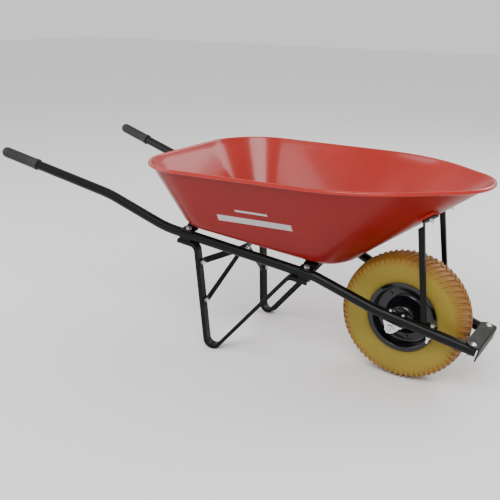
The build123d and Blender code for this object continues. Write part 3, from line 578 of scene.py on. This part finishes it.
@dataclass(frozen=True)
class Tray:
    """The pressed steel tray: bent floor, sloped walls and a rolled rim, as one closed shell."""

    bed_x: float
    bed_z: float
    bed_pitch: float = math.radians(9.776)
    rim_pitch: float = math.radians(-0.52)
    floor_level: float = 34.0 * MM
    depth: float = 279.5 * MM
    sheet: float = 1.6 * MM
    bend: float = 43.0 * MM
    wall_slope: float = math.radians(60.0)
    bead_radius: float = 6.0 * MM
    bead_seat: float = 4.0 * MM
    bead_steps: int = 12
    bend_steps: int = 9
    wall_steps: int = 10
    arc_steps: int = 18
    side_steps: int = 10
    floor: Plan = Plan(496.0 * MM, 248.0 * MM, 21.5 * MM, 135.4 * MM, 78.0 * MM,
                       (95.0 * MM, 105.0 * MM, 190.0 * MM))
    rim: Plan = Plan(590.2 * MM, 337.9 * MM, 184.0 * MM, 310.4 * MM, 561.4 * MM,
                     (187.0 * MM, 500.0 * MM, 164.0 * MM))

    def floor_level_plane(self) -> Level:
        """The plane of the tray's underside."""
        return Level(self.bed_x + self.floor_level * math.sin(self.bed_pitch),
                     self.bed_z + self.floor_level * math.cos(self.bed_pitch), self.bed_pitch)

    def rim_level_plane(self) -> Level:
        """The plane of the rim's centre-line."""
        return Level(self.bed_x, self.bed_z + self.floor_level / math.cos(self.bed_pitch) + self.depth,
                     self.rim_pitch)

    def skin(self, sheet: float) -> list[list[Vector]]:
        """Loops up one skin, from the edge of the flat floor to just inside the bead.

        Args:
            sheet: 0 for the outer skin, the sheet's thickness for the inner one.

        Returns:
            Loops of points, from the floor upwards.
        """
        ground = self.floor_level_plane()
        top = self.rim_level_plane()
        floor_ring = self.floor.ring(self.arc_steps, self.side_steps)
        rim_ring = self.rim.ring(self.arc_steps, self.side_steps)
        radius = self.bend - sheet
        loops = []
        for step in range(self.bend_steps + 1):
            turned = self.wall_slope * step / self.bend_steps
            shift = radius * math.sin(turned) - self.bend * math.tan(self.wall_slope / 2)
            rise = self.bend - radius * math.cos(turned)
            loops.append([ground.place(point + outward * shift, rise) for point, outward in floor_ring])
        inset = self.bead_seat + sheet / math.sin(self.wall_slope)
        last = [top.place(point - outward * inset) for point, outward in rim_ring]
        foot = loops[-1]
        for step in range(1, self.wall_steps):
            share = step / self.wall_steps
            loops.append([low.lerp(high, share) for low, high in zip(foot, last)])
        return loops

    def bead(self) -> list[list[Vector]]:
        """Loops round the rolled rim, from under its outer side over the top to its inner side."""
        top = self.rim_level_plane()
        ring = self.rim.ring(self.arc_steps, self.side_steps)
        first, last = math.radians(-155.0), math.radians(178.0)
        loops = []
        for step in range(self.bead_steps + 1):
            turn = first + (last - first) * step / self.bead_steps
            out, up = self.bead_radius * math.cos(turn), self.bead_radius * math.sin(turn)
            loops.append([top.place(point + outward * out, up) for point, outward in ring])
        return loops

    def build(self, outside: bpy.types.Material, inside: bpy.types.Material) -> bpy.types.Object:
        """Bridge the loops into one closed shell that replaces the CAD tray.

        Args:
            outside: the finish of the outer skin, a darker red that paints shade on it.
            inside: the finish of the bead and the inner skin.

        Returns:
            The finished tray.
        """
        mesh = bmesh.new()
        rings = self.skin(0.0) + self.bead() + list(reversed(self.skin(self.sheet)))
        edge_rings = [loop_of(mesh, ring) for ring in rings]
        outer_count = self.bend_steps + self.wall_steps
        for index, (low, high) in enumerate(zip(edge_rings, edge_rings[1:])):
            for face in bmesh.ops.bridge_loops(mesh, edges=low + high)["faces"]:
                face.material_index = 0 if index < outer_count else 1
        for index, edges in enumerate((edge_rings[0], edge_rings[-1])):
            for face in bmesh.ops.contextual_create(mesh, geom=edges)["faces"]:
                face.material_index = index
        bmesh.ops.recalc_face_normals(mesh, faces=mesh.faces)
        piece = finish_mesh("tray_shell", mesh, TRAY_SHARP, FRAME_BODY, outside)
        piece.data.materials.append(inside)
        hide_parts("tray")
        return piece


# ---------------------------------------------------------------- tyre
@dataclass(frozen=True)
class Tyre:
    """The solid tyre: a turned carcass with short slanted lugs from its middle over each shoulder."""

    axle: Vector
    crown: float
    half_width: float
    bead_half: float = 36.4 * MM
    bead_radius: float = 101.2 * MM
    flange_radius: float = 113.0 * MM
    bulge_radius: float = 158.0 * MM
    shoulder_half: float = 42.0 * MM
    lug_depth: float = 3.8 * MM
    lug_count: int = 66
    lug_fill: float = 0.62
    lug_from: float = 3.0 * MM
    slant: float = 0.10
    round_steps: int = 248

    def outline(self) -> list[tuple[float, float]]:
        """Half of the carcass section as (distance from the middle, radius), from the bead to the crown."""
        base = self.crown - self.lug_depth
        wide = self.half_width
        return [
            (0.0, self.bead_radius), (self.bead_half - 4 * MM, self.bead_radius),
            (self.bead_half, self.bead_radius + 4 * MM), (self.bead_half, self.flange_radius),
            (wide - 9 * MM, self.flange_radius + 3 * MM), (wide - 4 * MM, self.flange_radius + 12 * MM),
            (wide - 0.8 * MM, self.bulge_radius - 20 * MM), (wide, self.bulge_radius),
            (wide - 1.0 * MM, self.bulge_radius + 14 * MM), (wide - 3.6 * MM, base - 16 * MM),
            (self.shoulder_half + 0.5 * MM, base - 9 * MM), (self.shoulder_half - 6 * MM, base - 4.5 * MM),
            (self.shoulder_half * 0.6, base - 1.8 * MM), (self.shoulder_half * 0.3, base - 0.4 * MM),
            (0.0, base),
        ]

    def carcass(self, mesh: bmesh.types.BMesh) -> None:
        """Spin the section round the axle."""
        half = self.outline()
        section = half + [(-across, radius) for across, radius in reversed(half[1:-1])]
        edges = loop_of(mesh, [Vector((radius, across, 0.0)) for across, radius in section])
        bmesh.ops.spin(mesh, geom=edges + list(mesh.verts), cent=(0, 0, 0), axis=(0, 1, 0), dvec=(0, 0, 0),
                       angle=2 * math.pi, steps=self.round_steps, use_merge=True)

    def lug_top(self, across: float) -> float:
        """Radius of a lug's top at that distance from the middle."""
        share = min(max(across / self.half_width, 0.0), 1.0)
        return self.crown - (11.0 * share ** 2.6 + 20.0 * max(share - 0.84, 0.0)) * MM

    def lugs(self, mesh: bmesh.types.BMesh) -> None:
        """Bend one block over the shoulder and repeat it round both sides."""
        pitch = 2 * math.pi / self.lug_count
        width = pitch * self.lug_fill
        reach = self.half_width - 0.6 * MM
        block = bmesh.new()
        bmesh.ops.create_cube(block, size=1.0)
        for share in (0.2, 0.4, 0.6, 0.75, 0.88):
            geometry = list(block.verts) + list(block.edges) + list(block.faces)
            bmesh.ops.bisect_plane(block, geom=geometry, plane_co=(0, share - 0.5, 0), plane_no=(0, 1, 0))
        for vert in block.verts:
            share = vert.co.y + 0.5
            across = self.lug_from + (reach - self.lug_from) * min(share / 0.88, 1.0)
            top = self.lug_top(across) - (13.0 * MM if share > 0.9 else 0.0)
            narrow = 1.0 - 0.35 * share
            radius = top if vert.co.z > 0 else top - 2.2 * self.lug_depth
            angle = vert.co.x * width * narrow * (0.84 if vert.co.z > 0 else 1.0) + self.slant * share
            inward = 4.0 * MM if vert.co.z <= 0 and share > 0.7 else 0.0
            vert.co = Vector((radius * math.cos(angle), across - inward, radius * math.sin(angle)))
        bmesh.ops.recalc_face_normals(block, faces=block.faces)
        pattern = bpy.data.meshes.new("lug_pattern")
        block.to_mesh(pattern)
        block.free()
        for side in (1, -1):
            for index in range(self.lug_count):
                before = len(mesh.verts)
                mesh.from_mesh(pattern)
                mesh.verts.ensure_lookup_table()
                fresh = mesh.verts[before:]
                turn = pitch * (index + (0.5 if side < 0 else 0.0))
                flip = Matrix.Diagonal((1.0, float(side), 1.0, 1.0))
                bmesh.ops.transform(mesh, matrix=Matrix.Rotation(turn, 4, "Y") @ flip, verts=fresh)
        bpy.data.meshes.remove(pattern)

    def build(self, material: bpy.types.Material) -> bpy.types.Object:
        """Make the whole tyre, which replaces the CAD one."""
        mesh = bmesh.new()
        self.carcass(mesh)
        self.lugs(mesh)
        bmesh.ops.recalc_face_normals(mesh, faces=mesh.faces)
        bmesh.ops.translate(mesh, vec=self.axle, verts=mesh.verts)
        piece = finish_mesh("tyre_lugged", mesh, TYRE_SHARP, WHEEL_BODY, material)
        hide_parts("tyre")
        return piece


# ---------------------------------------------------------------- studio
@dataclass(frozen=True)
class Studio:
    """Pale floor, soft lights and the camera."""

    eye: tuple[float, float, float] = (1.29985, -2.06942, 1.13115)
    yaw: float = math.radians(32.07)
    pitch: float = math.radians(18.73)
    roll: float = math.radians(0.58)
    lens: float = 53.51
    floor_size: float = 30.0

    def floor(self) -> None:
        """A pale seamless floor."""
        mesh = bmesh.new()
        bmesh.ops.create_grid(mesh, x_segments=1, y_segments=1, size=self.floor_size / 2)
        data = bpy.data.meshes.new("studio_floor")
        mesh.to_mesh(data)
        mesh.free()
        sheet = Sheet("studio_paper")
        mottle = sheet.group(GroupName.MOTTLE, Scale=2.0, Contrast=0.5)
        sheet.feed(sheet.blend(mottle.outputs["Mask"], (0.86, 0.86, 0.86), (0.89, 0.89, 0.89)), "Base Color")
        sheet.shader.inputs["Roughness"].default_value = 0.9
        data.materials.append(sheet.material)
        floor = bpy.data.objects.new("studio_floor", data)
        bpy.context.scene.collection.objects.link(floor)

    def light(self, name: str, at: tuple[float, float, float], aim: tuple[float, float, float],
              size: tuple[float, float], power: float) -> None:
        """A rectangular soft light aimed at a point."""
        lamp = bpy.data.lights.new(name, "AREA")
        lamp.shape = "RECTANGLE"
        lamp.size, lamp.size_y = size
        lamp.energy = power
        holder = bpy.data.objects.new(name, lamp)
        facing = (Vector(aim) - Vector(at)).to_track_quat("-Z", "Y")
        holder.matrix_world = Matrix.Translation(at) @ facing.to_matrix().to_4x4()
        bpy.context.scene.collection.objects.link(holder)

    def lights(self) -> None:
        """Key, fill and back lights over a pale world."""
        centre = (0.0, 0.0, 0.4)
        self.light("key", (1.2, -2.6, 3.2), centre, (2.4, 1.6), 105.0)
        self.light("fill", (-3.2, -1.8, 2.2), centre, (2.4, 2.0), 55.0)
        self.light("back", (1.5, 3.0, 2.6), centre, (3.0, 1.2), 60.0)
        world = bpy.data.worlds.new("studio_world")
        world.use_nodes = True
        world.node_tree.nodes["Background"].inputs["Color"].default_value = (1.0, 0.985, 0.965, 1.0)
        world.node_tree.nodes["Background"].inputs["Strength"].default_value = 0.95
        bpy.context.scene.world = world

    def camera(self) -> None:
        """The camera, from its eye point and its three angles."""
        right = Vector((math.cos(self.yaw), math.sin(self.yaw), 0.0))
        look = Vector((-math.sin(self.yaw) * math.cos(self.pitch), math.cos(self.yaw) * math.cos(self.pitch),
                       -math.sin(self.pitch)))
        up = right.cross(look)
        rolled_right = right * math.cos(self.roll) + up * math.sin(self.roll)
        rolled_up = up * math.cos(self.roll) - right * math.sin(self.roll)
        turn = Matrix((rolled_right, rolled_up, -look)).transposed().to_4x4()
        data = bpy.data.cameras.new("camera")
        data.lens = self.lens
        holder = bpy.data.objects.new("camera", data)
        holder.matrix_world = Matrix.Translation(self.eye) @ turn
        bpy.context.scene.collection.objects.link(holder)
        bpy.context.scene.camera = holder

    def build(self) -> None:
        """Set the whole studio up."""
        self.floor()
        self.lights()
        self.camera()


# ---------------------------------------------------------------- dressing the CAD nodes
@dataclass(frozen=True)
class Wardrobe:
    """Every finish, by the record's material slot."""

    axle: Vector

    def finishes(self) -> dict[str, bpy.types.Material]:
        """Build every finish.

        Returns:
            The materials by slot name.
        """
        foam = Foam("yellow_foam", (0.21, 0.150, 0.008), (0.26, 0.19, 0.012), (0.24, 0.085, 0.008),
                    (0.16, 0.042, 0.006), self.axle.x, self.axle.z, stain_from=0.188, stain_to=0.232)
        return {
            "tray_paint": Enamel(
                "red_enamel", (0.40, 0.010, 0.004), (0.33, 0.008, 0.003), (0.32, 0.035, 0.018),
                gloss=(0.22, 0.30), coat=0.22, peel=0.05, scuffs=0.25).make(),
            "tube_paint": Enamel(
                "black_gloss", (0.0022, 0.0030, 0.0038), (0.0015, 0.002, 0.0026), (0.015, 0.016, 0.016),
                gloss=(0.34, 0.46), coat=0.06, peel=0.05, scuffs=0.4, blotch=20.0, specular=0.16).make(),
            "frame_paint": Enamel(
                "black_satin", (0.0035, 0.0038, 0.0034), (0.0024, 0.0026, 0.0022), (0.018, 0.018, 0.015),
                gloss=(0.36, 0.48), coat=0.03, peel=0.10, scuffs=0.5, blotch=25.0, specular=0.14).make(),
            "guard_paint": Enamel(
                "grey_guard", (0.011, 0.011, 0.0075), (0.008, 0.008, 0.0055), (0.045, 0.045, 0.038),
                gloss=(0.42, 0.58), coat=0.02, peel=0.12, scuffs=0.8, blotch=30.0, specular=0.12).make(),
            "rim_paint": Enamel(
                "black_rim", (0.0045, 0.0055, 0.0075), (0.003, 0.0035, 0.005), (0.04, 0.04, 0.04),
                gloss=(0.14, 0.24), coat=0.3, peel=0.05, scuffs=0.35, blotch=18.0).make(),
            "grip_rubber": Moulding("charcoal_grip", (0.006, 0.008, 0.009), (0.013, 0.015, 0.016),
                                    roughness=0.6, grain=900.0).make(),
            "bush_plastic": Moulding("nylon_bush", (0.20, 0.20, 0.19), (0.26, 0.26, 0.24),
                                     roughness=0.45, grain=700.0).make(),
            "zinc_plate": Plating("bright_zinc", (0.82, 0.84, 0.86), (0.66, 0.68, 0.70),
                                  gloss=(0.28, 0.42), spangle=90.0).make(),
            "axle_steel": Plating("drawn_steel", (0.62, 0.63, 0.64), (0.46, 0.47, 0.48),
                                  gloss=(0.25, 0.38), spangle=60.0).make(),
            "tyre_foam": foam.make(),
        }

    def shaded_tray_outside(self) -> bpy.types.Material:
        """The tray's outer enamel: a darker copy of the inside's red that paints shade on the outer walls,
        flatter than its inside, with two plain bars on each side.
        """
        bars = (Bar(0.165, 0.125, 0.488, 0.011), Bar(0.165, 0.055, 0.522, 0.004))
        # painted shade: these reds are darker than the inside's only because the outer walls sit in shade
        return Enamel(
            "red_enamel_outside_painted_shade", (0.22, 0.0042, 0.0036), (0.18, 0.0034, 0.0030), (0.19, 0.017, 0.012),
            gloss=(0.30, 0.40), coat=0.08, peel=0.05, scuffs=0.25, specular=0.2, bars=bars).make()

    def dress(self, frame: dict, finishes: dict[str, bpy.types.Material]) -> None:
        """Give every CAD node its finish."""
        slots = {part["node"]: part["material_slot"] for part in frame["record"]["subparts"]}
        slots.update(dict.fromkeys(PAINTED_OVER, "rim_paint"))
        for name, node in frame["nodes"].items():
            node.data.materials.clear()
            node.data.materials.append(finishes[slots[name]])
            log.info("%s dressed in %s", name, slots[name])


def main() -> None:
    """Build the studio, the tray and the tyre, and dress the rest."""
    logging.basicConfig(level=logging.INFO, format="%(name)s: %(message)s")
    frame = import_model()
    build_groups()
    tyre_low, tyre_high = (Vector(corner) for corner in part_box("tyre"))
    axle = (tyre_low + tyre_high) / 2
    wardrobe = Wardrobe(axle)
    finishes = wardrobe.finishes()
    wardrobe.dress(frame, finishes)
    bed_z = (axle.z + AXLE_RISE + NOSE_BEND_BACK * math.tan(NOSE_PITCH)
             + (BED_FRONT_BACK - NOSE_BEND_BACK) * math.tan(KNEE_PITCH))
    # the outer skin gets the darker red that paints shade on it
    Tray(bed_x=axle.x - BED_FRONT_BACK, bed_z=bed_z).build(wardrobe.shaded_tray_outside(), finishes["tray_paint"])
    Tyre(axle=axle, crown=(tyre_high.z - tyre_low.z) / 2,
         half_width=(tyre_high.y - tyre_low.y) / 2 - TYRE_INSET).build(finishes["tyre_foam"])
    Studio().build()


if __name__ == "__main__":
    main()
